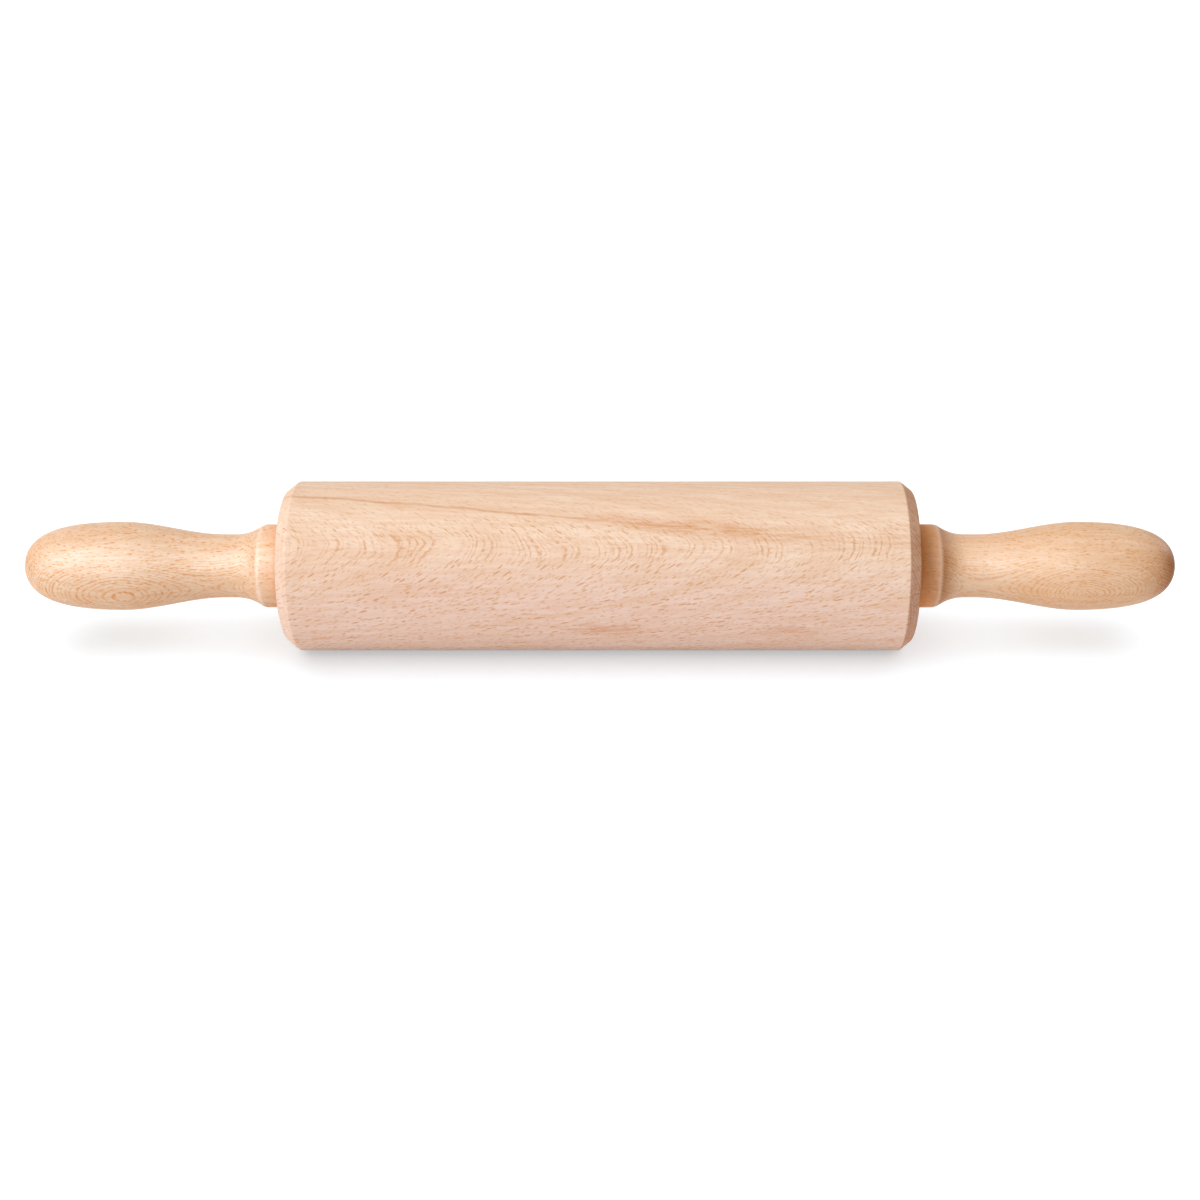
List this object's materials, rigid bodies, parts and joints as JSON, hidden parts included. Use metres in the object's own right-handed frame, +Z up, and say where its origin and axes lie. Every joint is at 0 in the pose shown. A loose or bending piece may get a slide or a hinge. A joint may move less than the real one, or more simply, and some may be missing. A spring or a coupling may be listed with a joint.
{
  "type": "rolling pin",
  "caption": "Turned beech rolling pin: a chamfered barrel runs on hidden ball bearings around a steel axle between two shaped handles that stand still in the hands.",
  "frame": {"origin": "middle of the barrel on the axle's axis", "axes": "X along the axle, towards the right handle as pictured; Y away from the viewer; Z up, and the barrel rests on a surface below the origin"},
  "size_m": [0.4076, 0.06, 0.06],
  "materials": {
    "raw_beech": "raw beech, turned and sanded",
    "oiled_beech": "beech, turned, sanded and lacquered to a satin sheen",
    "drawn_steel": "bright drawn steel rod",
    "bearing_steel": "ground and polished bearing steel",
    "sheet_steel": "stamped steel sheet",
    "nylon": "moulded natural nylon"
  },
  "bodies": {
    "roller": {"barrel": "raw_beech", "left_bearing_outer_ring": "bearing_steel", "left_bearing_outer_shield": "sheet_steel", "left_bearing_inner_shield": "sheet_steel", "right_bearing_outer_ring": "bearing_steel", "right_bearing_outer_shield": "sheet_steel", "right_bearing_inner_shield": "sheet_steel"},
    "handles": {"axle": "drawn_steel", "left_handle": "oiled_beech", "left_thrust_washer": "sheet_steel", "left_bearing_inner_ring": "bearing_steel", "right_handle": "oiled_beech", "right_thrust_washer": "sheet_steel", "right_bearing_inner_ring": "bearing_steel"},
    "left_ball_set": {"left_bearing_cage": "nylon", "left_bearing_ball_1": "bearing_steel", "left_bearing_ball_2": "bearing_steel", "left_bearing_ball_3": "bearing_steel", "left_bearing_ball_4": "bearing_steel", "left_bearing_ball_5": "bearing_steel", "left_bearing_ball_6": "bearing_steel", "left_bearing_ball_7": "bearing_steel"},
    "right_ball_set": {"right_bearing_cage": "nylon", "right_bearing_ball_1": "bearing_steel", "right_bearing_ball_2": "bearing_steel", "right_bearing_ball_3": "bearing_steel", "right_bearing_ball_4": "bearing_steel", "right_bearing_ball_5": "bearing_steel", "right_bearing_ball_6": "bearing_steel", "right_bearing_ball_7": "bearing_steel"}
  },
  "joints": [
    {"name": "handles_spin", "type": "hinge", "parent": "roller", "child": "handles", "pos_m": [0, 0, 0], "axis": [1, 0, 0], "continuous": true},
    {"name": "left_balls_orbit", "type": "hinge", "parent": "roller", "child": "left_ball_set", "pos_m": [-0.1061, 0, 0], "axis": [1, 0, 0], "continuous": true},
    {"name": "right_balls_orbit", "type": "hinge", "parent": "roller", "child": "right_ball_set", "pos_m": [0.1061, 0, 0], "axis": [1, 0, 0], "continuous": true}
  ],
  "couplings": [
    {"joint": "left_balls_orbit", "follows": "handles_spin", "ratio": 0.36898},
    {"joint": "right_balls_orbit", "follows": "handles_spin", "ratio": 0.36898}
  ]
}
